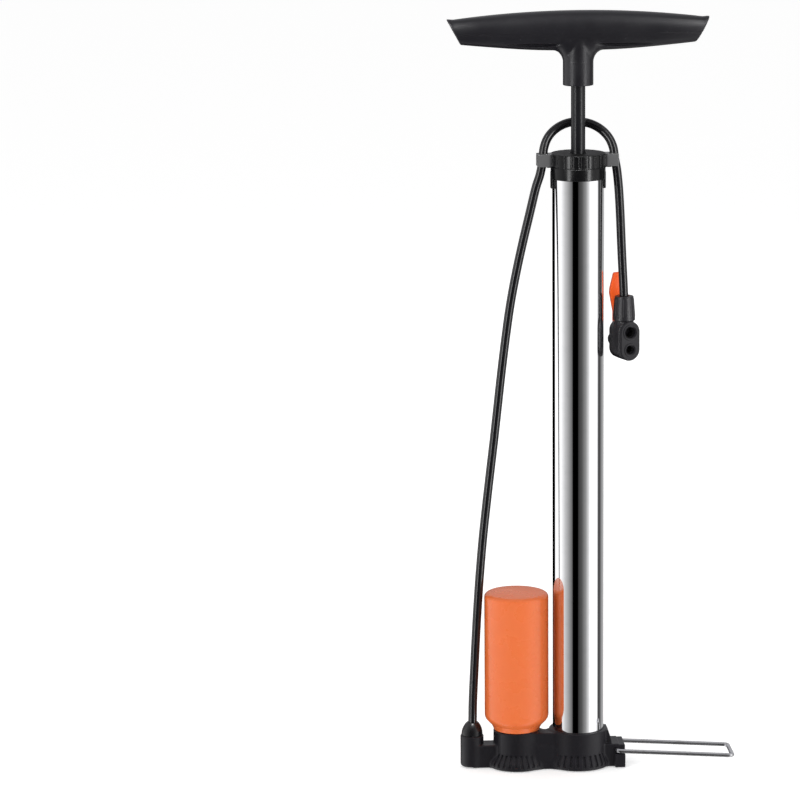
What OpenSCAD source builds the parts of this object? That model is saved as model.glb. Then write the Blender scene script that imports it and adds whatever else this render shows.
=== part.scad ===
// Floor pump with an air tank, a twin-port clip head and a folding wire pedal.
// Frame: origin on the barrel axis at the floor, +Z up, pedal towards +X, front towards -Y.

/* [Barrel] */
// Outside diameter of the steel barrel
barrel_d = 38; // [37.6:0.1:38.2]
// Wall of the barrel
barrel_wall = 1.1; // [0.9:0.05:1.3]
// Height of the barrel's open top end
barrel_top = 459.8; // [456:0.2:460]

/* [Cap] */
// Outside diameter of the top cap
cap_d = 40.4; // [40:0.1:42]
// Height of the cap's lower edge
cap_bottom = 445; // [443:0.5:448]
// Height of the cap's upper face
cap_top = 464; // [463.6:0.1:466]
// Reach of the hose clips from the axis
clip_reach = 30.4; // [30:0.1:33]

/* [Handle and rod] */
// Tip to tip width of the handle
handle_w = 192.4; // [180:0.2:220]
// Depth of the handle bar, front to back
handle_depth = 27; // [24:0.5:32]
// Outside diameter of the handle's stem
stem_d = 22.3; // [20:0.1:24]
// Height of the stem's lower end with the handle as stored
stem_bottom = 513.6; // [512:0.2:516]
// Outside diameter of the piston rod
rod_d = 10.5; // [10:0.1:10.6]

/* [Tank] */
// Outside diameter of the air tank
tank_d = 48; // [46:0.5:49]
// Distance from the barrel axis to the tank axis
tank_offset = 46.3; // [46:0.1:48]
// Height of the tank's top
tank_top = 134.5; // [110:0.5:160]

/* [Base] */
// Height of the cup rims
rim_z = 28; // [27.6:0.1:29]
// Distance from the barrel axis to the hose socket's axis
socket_offset = 80; // [79.5:0.1:81]
// Outside diameter of the hose socket
socket_d = 17.4; // [16.6:0.2:18.4]

/* [Pedal] */
// Diameter of the pedal's wire
wire_d = 3.1; // [2.8:0.1:3.4]
// Distance from the barrel axis to the pedal's outer bar
pedal_reach = 115.3; // [100:0.1:120]
// Half of the distance between the pedal's two arms
pedal_half = 14.9; // [14.7:0.1:15.5]

/* [Hose and head] */
// Outside diameter of the hose
hose_d = 6.5; // [6:0.1:6.6]
// Width of the pump head
head_w = 16.4; // [15:0.1:17]
// Turn of the head about its hose, in degrees
head_turn = 23; // [0:1:40]
// Bore of the wide valve port
schrader_d = 8.2; // [8:0.1:8.6]
// Bore of the narrow valve port
presta_d = 6.4; // [6.2:0.1:6.8]

/* [Hidden] */
$fn = 64;
eps = 0.01;
slip = 0.05;             // radial clearance of a running fit
tiny = 0.3;              // gap between parts that move past each other

// Barrel and base
barrel_r = barrel_d / 2;
bore_r = barrel_r - barrel_wall;
barrel_z0 = 10;          // the barrel stands on its gasket
cup_r = 21.9;            // outside of the barrel cup
lobe_r = 24.5;           // widest part of the foot under the barrel
tank_cup_r = 17.5;       // outside of the tank cup
tank_lobe_r = 22.2;      // widest part of the foot under the tank
skirt_z = 11;            // height where the flared foot meets the cups
bridge_z = 17.4;         // top of the bridge and of the pedal block
bridge_half = 8;         // half depth of the bridge
web_half = 15.4;         // half depth of the web between the cups
socket_top = 24.2;
channel_z = 14;          // centre of the air channel inside the foot
channel_r = 2;
flute_count = 30;        // flutes round a full skirt

// Tank
tank_r = tank_d / 2;
tank_wall = 2;
spigot_r = 13;           // threaded spigot that screws into the tank cup
spigot_z = 18;

// Pedal
hinge_x = 27.7;
hinge_z = 13;
pedal_droop = 3.6;       // slope of the pedal as it rests on the ledge, in degrees
ledge_z = 10.4;
block_end = 34.4;
block_half = 11.6;
hook_in = 5;             // how far the pedal's bent ends reach into the block
corner_r = 3.2;          // bend radius at the pedal's corners

// Rod, piston and handle
rod_r = rod_d / 2;
stud_r = 4;              // threaded ends of the rod
stem_r = stem_d / 2;
nut_z = 56;              // lower face of the piston nut with the handle as stored
washer_z = nut_z + 6.5;
piston_z = washer_z + 2;
piston_h = 20;
piston_top = piston_z + piston_h;
bar_mid_z = stem_bottom + 39.6;
bar_top = stem_bottom + 54.6;
bar_bottom = stem_bottom + 24.4;
bar_end_top = stem_bottom + 48.2;
bar_end_bottom = stem_bottom + 28.5;
end_slant = 11.2;        // how far the ends lean in from top to bottom
handle_nut_z = bar_bottom + 6;

// Hose clips on the cap
clip_left_x = 25.9;
clip_right_x = 27.2;
clip_y = 1;
clip_z = 458.4;
clip_left_turn = [16, 10.1];       // the hose leans backwards and inwards as it rises
clip_right_turn = [13.8, 8.3];
clip_bore_r = hose_d / 2 + 0.2;

// Head, in its own frame: the hose comes down +Z, the ports face -Y
head_x = 33.9;
head_y = -2;
head_mid = 324.5;        // middle of the two ports
port_gap = 13;
face_y = -10.1;          // outer face of the head
cap_t = 3;               // thickness of the face cap
back_y = 9.3;
neck_r = 7;              // neck of the head under its collar
collar_z0 = 339;
collar_z1 = 357.2;
barb_top = 344.8;
pin_y = 6.2;
pin_z = 324.5;
pin_r = 1.5;
cam_r = 3.2;
cam_lift = 1.4;          // how far the lever pushes the plunger
plunger_gap = 0.65;
lever_w = 7.4;
gasket_y0 = face_y + cap_t;
gasket_y1 = gasket_y0 + 4.6;
plunger_y0 = gasket_y1 + cam_lift + tiny;
plunger_y1 = pin_y - cam_r - plunger_gap;

// The hose's centre line, from inside its boot up, over the clips and down into the head
ROUTE = [
    [-80, 0, 25], [-79.5, 0, 36], [-79.2, 0, 50], [-78, 0, 75], [-76.7, 0, 100],
    [-75.2, 0, 125], [-73.4, 0, 150], [-71.2, 0, 175], [-68.5, 0, 200], [-65.6, 0, 225],
    [-62.6, 0, 250], [-59.8, 0, 275], [-57, 0, 300], [-53.9, 0, 325], [-50.4, 0, 350],
    [-46, 0, 374], [-41, 0, 397], [-35.5, 0, 420], [-31.2, -0.2, 438], [-28, -0.6, 448.3],
    [-25.9, 1, 458.4], [-24.7, 4.7, 466.8], [-21.3, 8.9, 474.1], [-15.4, 12.5, 479.7],
    [-7.6, 14.8, 483.4], [1.2, 15.5, 484.6], [10, 14.5, 483.2], [17.5, 12, 479.5],
    [23, 8.3, 474], [26.1, 4.3, 467.1], [27.2, 1, 458.4], [28.6, 0.1, 450],
    [29.9, -0.3, 437], [30.9, -0.7, 420], [31.6, -1.1, 403], [32.3, -1.5, 386],
    [33.2, -1.8, 368], [33.8, -2, 354], [33.9, -2, 345.2]
];

// ---------- shared shapes ----------

function arc(cx, cy, r, a0, a1, n = 8) =
    [for (i = [0:n]) let (a = a0 + (a1 - a0) * i / n) [cx + r * cos(a), cy + r * sin(a)]];

module tube(r_out, r_in, z0, z1) {
    translate([0, 0, z0]) difference() {
        cylinder(r = r_out, h = z1 - z0);
        translate([0, 0, -1]) cylinder(r = r_in, h = z1 - z0 + 2);
    }
}

module rod_x(r, x0, x1) {
    translate([x0, 0, 0]) rotate([0, 90, 0]) cylinder(r = r, h = x1 - x0);
}

module rod_y(r, y0, y1) {
    translate([0, y1, 0]) rotate([90, 0, 0]) cylinder(r = r, h = y1 - y0);
}

// Box with the given half depth, between two X and two Z values
module slab(x0, x1, half, z0, z1) {
    translate([x0, -half, z0]) cube([x1 - x0, 2 * half, z1 - z0]);
}

function unit(v) = v / norm(v);

// Round tube along a line of points. ref is a direction that the line never follows.
module sweep(line, r, sides, ref) {
    last = len(line) - 1;
    rings = [for (k = [0:last]) let (
        t = unit(line[min(k + 1, last)] - line[max(k - 1, 0)]),
        side = unit(cross(t, ref)),
        up = cross(side, t)
    ) for (j = [0:sides - 1]) let (a = 360 * j / sides)
        line[k] + r * (cos(a) * side + sin(a) * up)];
    polyhedron(
        points = rings,
        faces = concat(
            [[for (j = [0:sides - 1]) j]],
            [for (k = [0:last - 1], j = [0:sides - 1]) let (n = (j + 1) % sides)
                [k * sides + j, (k + 1) * sides + j, (k + 1) * sides + n, k * sides + n]],
            [[for (j = [sides - 1:-1:0]) last * sides + j]]
        ));
}

module on_tank_axis() {
    translate([-tank_offset, 0, 0]) children();
}

module on_socket_axis() {
    translate([-socket_offset, 0, 0]) children();
}

module on_head() {
    translate([head_x, head_y, 0]) rotate([0, 0, head_turn]) children();
}

// ---------- base ----------

// One cup on its flared foot, as a solid of revolution
module lobe(r_cup, r_foot) {
    rim = 1;
    rotate_extrude() polygon(concat(
        [[0, 0]],
        arc(r_foot - 2, 2, 2, -90, 0, 5),
        [[r_foot, 4]],
        [[r_cup, skirt_z]],
        arc(r_cup - rim, rim_z - rim, rim, 0, 90, 4),
        [[0, rim_z]]
    ));
}

// Flutes cut down the slope of a flared foot
module flutes(r_cup, r_foot, from, to) {
    step = 360 / flute_count;
    slope = atan2(r_foot - r_cup, skirt_z - 4);
    for (a = [from:step:to])
        rotate([0, 0, a]) translate([r_cup + 0.5, 0, skirt_z - 0.4]) rotate([0, 180 - slope, 0])
            translate([-1.1, -0.9, 0]) cube([2.2, 1.8, 7.4]);
}

module base_block() {
    // neck, pedal block and the ledge that the arms rest on
    slab(12, 30, block_half, 0, bridge_z);
    slab(27.2, block_end, block_half, 0, bridge_z - 0.6);
    slab(27.2, block_end, 15, 0, ledge_z);
    // gusset from the cup's rim down to the block
    translate([0, 9, 0]) rotate([90, 0, 0]) linear_extrude(height = 18)
        polygon([[12, 0], [24.6, 0], [24.6, 19.5], [22, rim_z - 0.5], [12, rim_z - 0.5]]);
}

module base() {
    color("#26252a") difference() {
        union() {
            lobe(cup_r, lobe_r);
            on_tank_axis() lobe(tank_cup_r, tank_lobe_r);
            slab(-tank_offset, 0, web_half, 0, 21.5);
            translate([-tank_offset, -web_half, 0]) cube([tank_offset, 13.5, rim_z]);
            slab(-socket_offset, -tank_offset, bridge_half, 0, bridge_z);
            on_socket_axis() rotate_extrude() polygon(concat(
                [[0, 0]], arc(socket_d / 2 - 2.5, 2.5, 2.5, -90, 0, 5),
                arc(socket_d / 2 - 0.5, socket_top - 0.5, 0.5, 0, 90, 3), [[0, socket_top]]));
            base_block();
        }
        flutes(cup_r, lobe_r, -132, -36);
        flutes(cup_r, lobe_r, 36, 132);
        on_tank_axis() flutes(tank_cup_r, tank_lobe_r, -144, -48);
        on_tank_axis() flutes(tank_cup_r, tank_lobe_r, 48, 144);
        // seat for the barrel and its gasket
        translate([0, 0, 8]) cylinder(r = barrel_r + slip, h = 40);
        // seat for the tank's spigot, and the check valve's pocket under it
        on_tank_axis() translate([0, 0, spigot_z - 2]) cylinder(r = spigot_r + slip, h = 30);
        on_tank_axis() translate([0, 0, 9]) cylinder(r = 5, h = 20);
        // socket for the hose boot and barb
        on_socket_axis() translate([0, 0, 17.5]) cylinder(r = 6.2, h = 20);
        on_socket_axis() translate([0, 0, 10]) cylinder(r = 3, h = 20);
        // air channels: barrel to check valve, tank to hose
        translate([0, 0, 5.5]) rod_x(channel_r, -tank_offset, -14);
        translate([-14, 0, 3.5]) cylinder(r = channel_r, h = 6);
        translate([-tank_offset, 0, 5.5]) cylinder(r = channel_r, h = 5);
        translate([0, 0, channel_z]) rod_x(channel_r, -socket_offset, -tank_offset - 8);
        on_tank_axis() translate([-8.5, 0, channel_z - 2]) cylinder(r = channel_r, h = 6);
        // pivot holes for the pedal's bent ends
        for (s = [-1, 1])
            translate([hinge_x, s * (block_half - 3), hinge_z]) rod_y(wire_d / 2 + slip, -3.2, 3.2);
    }
}

// ---------- barrel, tank and check valve ----------

module barrel() {
    color("#d9dade") tube(barrel_r, bore_r, barrel_z0, barrel_top);
}

module barrel_gasket() {
    color("#1c1c1c") tube(barrel_r - 0.1, bore_r - 1, 8, barrel_z0);
}

module air_tank() {
    shoulder_z = 37;
    color("#ee7a40") difference() {
        on_tank_axis() rotate_extrude() polygon(concat(
            [[0, spigot_z], [spigot_r, spigot_z], [spigot_r, rim_z + 0.4], [tank_cup_r - 0.2, rim_z + 0.4]],
            [[tank_cup_r, rim_z + 1], [tank_cup_r + 1.2, 31.2], [tank_r - 3.2, 32.2]],
            arc(tank_r - 4, shoulder_z - 0.6, 4, -60, 0, 5),
            arc(tank_r - 2.5, tank_top - 3.6, 2.5, 0, 75, 6),
            [[tank_r * 0.45, tank_top - 0.3], [0, tank_top]]
        ));
        on_tank_axis() rotate_extrude() polygon([
            [0, spigot_z - 1], [spigot_r - 4, spigot_z - 1], [spigot_r - 4, 34],
            [tank_r - 5, 38], [tank_r - tank_wall, 41], [tank_r - tank_wall, tank_top - 5],
            [0, tank_top - 3]
        ]);
    }
}

module tank_gasket() {
    color("#1c1c1c") on_tank_axis() tube(spigot_r - 0.2, spigot_r - 3, spigot_z - 2, spigot_z);
}

module check_valve_seat() {
    color("#b08d45") on_tank_axis() translate([0, 0, 10.5]) difference() {
        cylinder(r = 5, h = 3);
        translate([0, 0, -1]) cylinder(r = 2, h = 5);
        translate([0, 0, 5.4]) sphere(r = 3.05);
    }
}

module check_valve_ball() {
    color("#c9c9cc") on_tank_axis() translate([0, 0, 15.9]) sphere(r = 3);
}

module check_valve_spring() {
    turns = 4;
    steps = 12 * turns;
    coil = [for (i = [0:steps]) [2.3 * cos(30 * i), 2.3 * sin(30 * i), 19.6 + 3.4 * i / steps]];
    color("#a8a8ac") on_tank_axis() sweep(coil, 0.35, 6, [0, 0, 1]);
}

module check_valve_cage() {
    color("#e6e6e0") on_tank_axis() difference() {
        translate([0, 0, 13.5]) cylinder(r = 5, h = 13);
        translate([0, 0, 12.5]) cylinder(r = 3.6, h = 11);
        for (a = [0:90:270])
            rotate([0, 0, a]) translate([2.4, 0, 22]) cylinder(r = 0.9, h = 6);
    }
}

// ---------- hose and its fittings on the base ----------

module barb(z0, z1, r, teeth) {
    difference() {
        rotate_extrude() polygon(concat(
            [[0, z0], [r, z0]],
            [for (i = [0:teeth - 1]) each [
                [r, z0 + 1 + i * (z1 - z0 - 1) / teeth],
                [r * 0.8, z0 + (i + 1) * (z1 - z0 - 1) / teeth]]],
            [[r * 0.8, z1], [0, z1]]));
        translate([0, 0, z0 - 1]) cylinder(r = 1.3, h = z1 - z0 + 2);
    }
}

module hose_barb() {
    color("#b8964e") on_socket_axis() barb(16.2, 24.6, 3, 3);
}

module hose_boot() {
    color("#242328") on_socket_axis() difference() {
        rotate_extrude() polygon(concat(
            [[0, 17.5], [6.1, 17.5], [6.1, socket_top], [8, socket_top]],
            [[7.7, socket_top + 3.4], [6.9, socket_top + 6]],
            arc(2.9, socket_top + 6.1, 3.9, 15, 70, 5),
            [[0, 34.2]]));
        translate([0, 0, 25]) rotate([0, 2.6, 0]) cylinder(r = hose_d / 2 + 0.1, h = 30);
        translate([0, 0, 16]) cylinder(r = 4.2, h = 9.1);
    }
}

// Catmull-Rom position between route points i and i + 1
function knot(i) = ROUTE[min(max(i, 0), len(ROUTE) - 1)];
function on_route(i, t) = 0.5 * (2 * knot(i) + (knot(i + 1) - knot(i - 1)) * t
    + (2 * knot(i - 1) - 5 * knot(i) + 4 * knot(i + 1) - knot(i + 2)) * t * t
    + (3 * knot(i) - knot(i - 1) - 3 * knot(i + 1) + knot(i + 2)) * t * t * t);

module hose() {
    line = [for (k = [0:2 * (len(ROUTE) - 1)]) on_route(floor(k / 2), (k % 2) / 2)];
    color("#1f1e22") sweep(line, hose_d / 2, 12, [0, 1, 0]);
}

// ---------- cap ----------

// Clip drawn on the right. The left one is its mirror image with a place and a turn of its own
module hose_clip(reach, x, turn) {
    difference() {
        translate([12, -5.6, 453.5]) cube([reach - 12, 11.6, 9.9]);
        translate([x, clip_y, clip_z]) rotate([-turn[0], -turn[1], 0]) {
            cylinder(r = clip_bore_r, h = 40, center = true);
            translate([0, -2.6, -20]) cube([20, 5.2, 40]);
        }
    }
}

module top_cap() {
    cap_r = cap_d / 2;
    color("#222126") difference() {
        union() {
            rotate_extrude() polygon(concat(
                [[0, cap_bottom], [cap_r, cap_bottom], [cap_r, 453.2], [cap_r - 0.25, 453.4]],
                arc(cap_r - 1.25, cap_top - 1.6, 1, 0, 80, 4),
                [[0, cap_top]]));
            mirror([1, 0, 0]) hose_clip(clip_reach, clip_left_x, clip_left_turn);
            hose_clip(clip_reach - 0.8, clip_right_x, clip_right_turn);
            // tabs of the skirt, one each side
            intersection() {
                tube(cap_r + 0.2, barrel_r, 438, cap_bottom + eps);
                slab(-30, 30, 6, 430, 450);
            }
        }
        // seat over the barrel, outside and inside its wall
        tube(barrel_r + slip, bore_r - 0.1, 430, barrel_top);
        translate([0, 0, 430]) cylinder(r = bore_r - 3, h = 25);
        translate([0, 0, 441]) cylinder(r = 9, h = 21);
        cylinder(r = rod_r + 1, h = 500);
    }
}

module rod_bush() {
    color("#3a3a3f") tube(9, rod_r + slip, 455, 462);
}

// ---------- rod, piston and handle ----------

module piston_rod() {
    color("#1b1b1e") difference() {
        union() {
            translate([0, 0, piston_top]) cylinder(r = rod_r, h = bar_bottom - piston_top);
            translate([0, 0, nut_z - 1]) cylinder(r = stud_r, h = piston_top - nut_z + 1);
            translate([0, 0, bar_bottom]) cylinder(r = stud_r, h = handle_nut_z + 8 - bar_bottom);
        }
        translate([0, 0, piston_top + 12]) cylinder(r = rod_r - 1.5, h = bar_bottom - piston_top - 24);
    }
}

module rod_bumper() {
    color("#1c1c1c") tube(8.5, rod_r, piston_top + 1, piston_top + 9);
}

module piston_body() {
    color("#d8d8d2") difference() {
        translate([0, 0, piston_z]) cylinder(r = bore_r - 0.3, h = piston_h - tiny);
        translate([0, 0, piston_z - 1]) cylinder(r = stud_r + slip, h = piston_h + 2);
        translate([0, 0, piston_z + 4]) difference() {
            cylinder(r = bore_r + 1, h = 6);
            translate([0, 0, -1]) cylinder(r = bore_r - 3.5, h = 8);
        }
    }
}

// Lipped rubber seal in the piston's groove, its lip facing down
module piston_cup() {
    z = piston_z + 4;
    color("#161616") rotate_extrude() polygon([
        [bore_r - 3.5, z + 6], [bore_r - 3.5, z], [bore_r - 2.4, z], [bore_r - 2.2, z + 3],
        [bore_r - 1, z + 0.2], [bore_r - slip, z + 0.4], [bore_r - slip, z + 2.5], [bore_r - 0.4, z + 6]
    ]);
}

module piston_washer() {
    color("#b9bcc2") tube(9, stud_r, washer_z, piston_z - tiny);
}

module hex_nut(z0, h) {
    translate([0, 0, z0]) difference() {
        cylinder(r = 7.5, h = h, $fn = 6);
        translate([0, 0, -1]) cylinder(r = stud_r, h = h + 2);
    }
}

module piston_nut() {
    color("#b9bcc2") hex_nut(nut_z, 6.5);
}

module handle_nut() {
    color("#b9bcc2") hex_nut(handle_nut_z, 6.5);
}

// Front outline of the bar: crowned top, slanted ends and a bellied underside
module bar_outline() {
    half = handle_w / 2;
    low = half - end_slant;
    steps = 16;
    polygon(concat(
        [for (i = [-steps:steps]) let (u = i / steps)
            [half * u, bar_top - (bar_top - bar_end_top) * u * u]],
        [for (i = [steps:-1:-steps]) let (u = i / steps)
            [low * u, bar_bottom + (bar_end_bottom - bar_bottom) * u * u]]
    ));
}

module handle() {
    half = handle_w / 2;
    blend_r = 8;
    color("#28272c") difference() {
        union() {
            intersection() {
                translate([0, handle_depth / 2, 0]) rotate([90, 0, 0])
                    linear_extrude(height = handle_depth) bar_outline();
                translate([-half, 0, bar_mid_z]) rotate([90, 0, 90]) linear_extrude(height = 2 * half)
                    polygon([for (a = [0:10:350]) [handle_depth / 2 * cos(a), 16.6 * sin(a)]]);
            }
            translate([0, 0, stem_bottom]) cylinder(r = stem_r, h = bar_mid_z - stem_bottom);
            intersection() {
                rotate_extrude() polygon(concat(
                    [[0, bar_bottom - blend_r]],
                    arc(stem_r + blend_r, bar_bottom - blend_r + 0.6, blend_r, 180, 90, 6),
                    [[stem_r + blend_r, bar_bottom + 2.6], [0, bar_bottom + 2.6]]));
                slab(-30, 30, handle_depth / 2 - 1.4, stem_bottom, bar_top);
            }
        }
        translate([0, 0, stem_bottom - 1]) cylinder(r = rod_r, h = bar_bottom - stem_bottom + 1);
        translate([0, 0, bar_bottom - 1]) cylinder(r = stud_r, h = handle_nut_z + 10 - bar_bottom);
        translate([0, 0, handle_nut_z]) cylinder(r = 7.5, h = 6.5, $fn = 6);
    }
}

// ---------- pedal ----------

// Quarter bend of the wire, from +X round to +Y
module wire_bend() {
    intersection() {
        rotate_extrude() translate([corner_r, 0]) circle(d = wire_d, $fn = 32);
        translate([0, 0, -wire_d]) cube([3 * corner_r, 3 * corner_r, 2 * wire_d]);
    }
}

module foot_pedal() {
    r = wire_d / 2;
    arm = (pedal_reach - hinge_x) / cos(pedal_droop);
    bend_y = pedal_half - corner_r;
    color("#c6c7cb") translate([hinge_x, 0, hinge_z]) rotate([0, pedal_droop, 0]) {
        translate([arm, 0, 0]) rod_y(r, -bend_y, bend_y);
        for (s = [0, 1]) mirror([0, s, 0]) {
            translate([0, pedal_half, 0]) rod_x(r, corner_r, arm - corner_r);
            translate([arm - corner_r, bend_y, 0]) wire_bend();
            // the bent end that turns in the block
            translate([corner_r, bend_y, 0]) mirror([1, 0, 0]) wire_bend();
            rod_y(r, bend_y - hook_in, bend_y);
        }
    }
}

// ---------- pump head ----------

// Upright oval between the two ports, lying in the XZ plane
module oval(w, y0, y1) {
    translate([0, y1, head_mid]) rotate([90, 0, 0]) linear_extrude(height = y1 - y0) union() {
        for (s = [-1, 1]) translate([0, s * port_gap / 2]) circle(d = w);
        square([w, port_gap], center = true);
    }
}

module at_port(s) {
    translate([0, 0, head_mid + s * port_gap / 2]) children();
}

module head_body() {
    inner_w = head_w - 4.2;
    lever_slot = lever_w + 2 * tiny;
    color("#28272c") on_head() difference() {
        union() {
            oval(head_w, gasket_y0, back_y);
            translate([0, 0, head_mid]) cylinder(r = neck_r, h = collar_z0 - head_mid);
            translate([0, pin_y, pin_z]) rod_x(3.6, -head_w / 2 - 0.8, head_w / 2 + 0.8);
        }
        // room for the gaskets and the plunger
        oval(inner_w, gasket_y0 - 1, plunger_y1 + 1);
        // slot for the lever and its cam
        translate([-lever_slot / 2, pin_y - 5.4, pin_z - 5.4]) cube([lever_slot, 20, 10.8]);
        translate([-lever_slot / 2, pin_y - 1.2, pin_z]) cube([lever_slot, 20, 20]);
        // pin bore
        translate([0, pin_y, pin_z]) rod_x(pin_r, -12, 12);
        // air way from the hose
        translate([0, 0, head_mid]) cylinder(r = 1.3, h = 30);
        translate([0, 0, collar_z0 - 2.2]) cylinder(r = 3, h = 10);
    }
}

module head_face_cap() {
    color("#232227") on_head() difference() {
        union() {
            oval(head_w - 0.8, face_y, face_y + 0.8);
            oval(head_w, face_y + 0.8, gasket_y0);
        }
        at_port(1) rod_y(schrader_d / 2, face_y - 1, gasket_y0 + 1);
        at_port(-1) rod_y(presta_d / 2, face_y - 1, gasket_y0 + 1);
    }
}

module port_gasket(s, bore_d) {
    color("#1a1a1a") on_head() at_port(s) difference() {
        rod_y(5.8, gasket_y0, gasket_y1);
        rod_y(bore_d / 2 - 0.4, gasket_y0 - 1, gasket_y1 + 1);
    }
}

module schrader_gasket() {
    port_gasket(1, schrader_d);
}

module presta_gasket() {
    port_gasket(-1, presta_d);
}

module head_plunger() {
    color("#d9d6cc") on_head() difference() {
        oval(head_w - 4.8, plunger_y0, plunger_y1);
        at_port(-1) rod_y(1, plunger_y0 - 1, plunger_y0 + 1);
    }
}

module head_collar() {
    color("#2b2a30") on_head() difference() {
        rotate_extrude() polygon([
            [0, collar_z0], [8.4, collar_z0], [8.4, collar_z0 + 1.6], [7.4, collar_z1 - 0.4],
            [7, collar_z1], [0, collar_z1]
        ]);
        translate([0, 0, collar_z0 - 1]) cylinder(r = hose_d / 2 + 0.15, h = 30);
        translate([0, 0, collar_z0 - 1]) cylinder(r = 4.6, h = 8);
    }
}

module head_barb() {
    color("#b8964e") on_head() barb(collar_z0 - 2.2, barb_top, 3, 3);
}

// Lever on its cam: a shank that rises behind the collar and widens to a thumb pad
module head_lever() {
    pad_t = 2.6;
    color("#f2622c") on_head() difference() {
        union() {
            translate([0, pin_y, pin_z]) rod_x(cam_r, -lever_w / 2, lever_w / 2);
            translate([0, pin_y, pin_z - cam_lift]) rod_x(cam_r, -lever_w / 2, lever_w / 2);
            translate([-lever_w / 2, pin_y, pin_z]) cube([lever_w, 3.2, 6]);
            // shank and pad, leaning back from the collar and in again at the tip
            intersection() {
                rotate([90, 0, 90]) linear_extrude(height = 30, center = true) polygon([
                    [pin_y + 0.4, pin_z + 2], [9.4, 338.2], [9.2, 358.2], [7.2, 372.8],
                    [7.2 + pad_t, 373.8], [9.2 + pad_t, 358.2], [9.6 + pad_t, 338.2],
                    [pin_y + 3.2, pin_z + 2]
                ]);
                translate([0, 20, 0]) rotate([90, 0, 0]) linear_extrude(height = 40) polygon([
                    [-lever_w / 2, pin_z], [-lever_w / 2, 344.2], [-6.8, 358.2], [-6.8, 362.2],
                    [-4.4, 373.8], [4.4, 373.8], [6.8, 362.2], [6.8, 358.2],
                    [lever_w / 2, 344.2], [lever_w / 2, pin_z]
                ]);
            }
        }
        translate([0, pin_y, pin_z]) rod_x(pin_r + slip, -12, 12);
    }
}

module lever_pin() {
    color("#2a2a2e") on_head() translate([0, pin_y, pin_z])
        rod_x(pin_r, -head_w / 2 - 0.8, head_w / 2 + 0.8);
}

base();
barrel();
barrel_gasket();
air_tank();
tank_gasket();
check_valve_seat();
check_valve_ball();
check_valve_spring();
check_valve_cage();
hose_barb();
hose_boot();
hose();
top_cap();
rod_bush();
piston_rod();
rod_bumper();
piston_body();
piston_cup();
piston_washer();
piston_nut();
handle();
handle_nut();
foot_pedal();
head_body();
head_face_cap();
head_collar();
head_barb();
head_lever();
lever_pin();
head_plunger();
schrader_gasket();
presta_gasket();
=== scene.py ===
"""Looks of the floor pump: smooth moulded shells, chrome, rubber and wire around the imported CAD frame.

Sizes inside the shape functions are millimetres in the CAD frame; meshes are written in metres.
"""
import math

import bpy
import numpy as np
from mathutils import Matrix, Vector


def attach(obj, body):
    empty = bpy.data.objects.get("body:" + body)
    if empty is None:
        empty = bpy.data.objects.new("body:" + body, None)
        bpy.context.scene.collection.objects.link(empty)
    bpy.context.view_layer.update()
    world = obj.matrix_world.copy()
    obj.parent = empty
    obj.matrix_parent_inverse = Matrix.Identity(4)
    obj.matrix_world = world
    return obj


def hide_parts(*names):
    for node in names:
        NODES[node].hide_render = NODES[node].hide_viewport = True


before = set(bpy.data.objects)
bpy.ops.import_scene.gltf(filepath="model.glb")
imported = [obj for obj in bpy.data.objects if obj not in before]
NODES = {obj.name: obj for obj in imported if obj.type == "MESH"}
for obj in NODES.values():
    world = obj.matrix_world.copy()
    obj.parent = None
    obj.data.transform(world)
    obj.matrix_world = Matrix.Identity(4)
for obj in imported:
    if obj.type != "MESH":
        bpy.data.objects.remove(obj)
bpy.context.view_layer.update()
MM = 0.001
FINE = 0.75      # grid step factor of the moulded shapes


# ---------------------------------------------------------------- camera

CAMERA_AZIMUTH = math.radians(-5.71)
CAMERA_YAW = math.radians(2.52)
CAMERA_PITCH = math.radians(11.28)
CAMERA_ROLL = math.radians(-0.48)
CAMERA_DISTANCE = 3.0
CAMERA_HEIGHT = 0.878


def make_camera():
    heading = CAMERA_AZIMUTH + CAMERA_YAW
    forward = Vector((-math.sin(heading) * math.cos(CAMERA_PITCH),
                      math.cos(heading) * math.cos(CAMERA_PITCH), -math.sin(CAMERA_PITCH)))
    right = forward.cross(Vector((0, 0, 1))).normalized()
    up = right.cross(forward)
    turned_right = right * math.cos(CAMERA_ROLL) + up * math.sin(CAMERA_ROLL)
    turned_up = up * math.cos(CAMERA_ROLL) - right * math.sin(CAMERA_ROLL)
    data = bpy.data.cameras.new("camera")
    data.sensor_width = 36
    data.lens = 185.65
    data.clip_start, data.clip_end = 0.05, 200
    camera = bpy.data.objects.new("camera", data)
    matrix = Matrix((turned_right, turned_up, -forward)).transposed().to_4x4()
    matrix.translation = Vector((math.sin(CAMERA_AZIMUTH) * CAMERA_DISTANCE,
                                 -math.cos(CAMERA_AZIMUTH) * CAMERA_DISTANCE, CAMERA_HEIGHT))
    camera.matrix_world = matrix
    bpy.context.scene.collection.objects.link(camera)
    bpy.context.scene.camera = camera


make_camera()


# ---------------------------------------------------------------- mesh building

def add_object(name, verts, faces, sharp_angle=None):
    """Object from points in mm and lists of corner indices, smooth shaded."""
    mesh = bpy.data.meshes.new(name)
    verts = np.asarray(verts, float) * MM
    mesh.from_pydata(verts.tolist(), [], [list(f) for f in faces])
    mesh.polygons.foreach_set("use_smooth", [True] * len(mesh.polygons))
    if sharp_angle is not None:
        mesh.set_sharp_from_angle(angle=math.radians(sharp_angle))
    mesh.validate()
    mesh.update()
    item = bpy.data.objects.new(name, mesh)
    bpy.context.scene.collection.objects.link(item)
    return item


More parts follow.
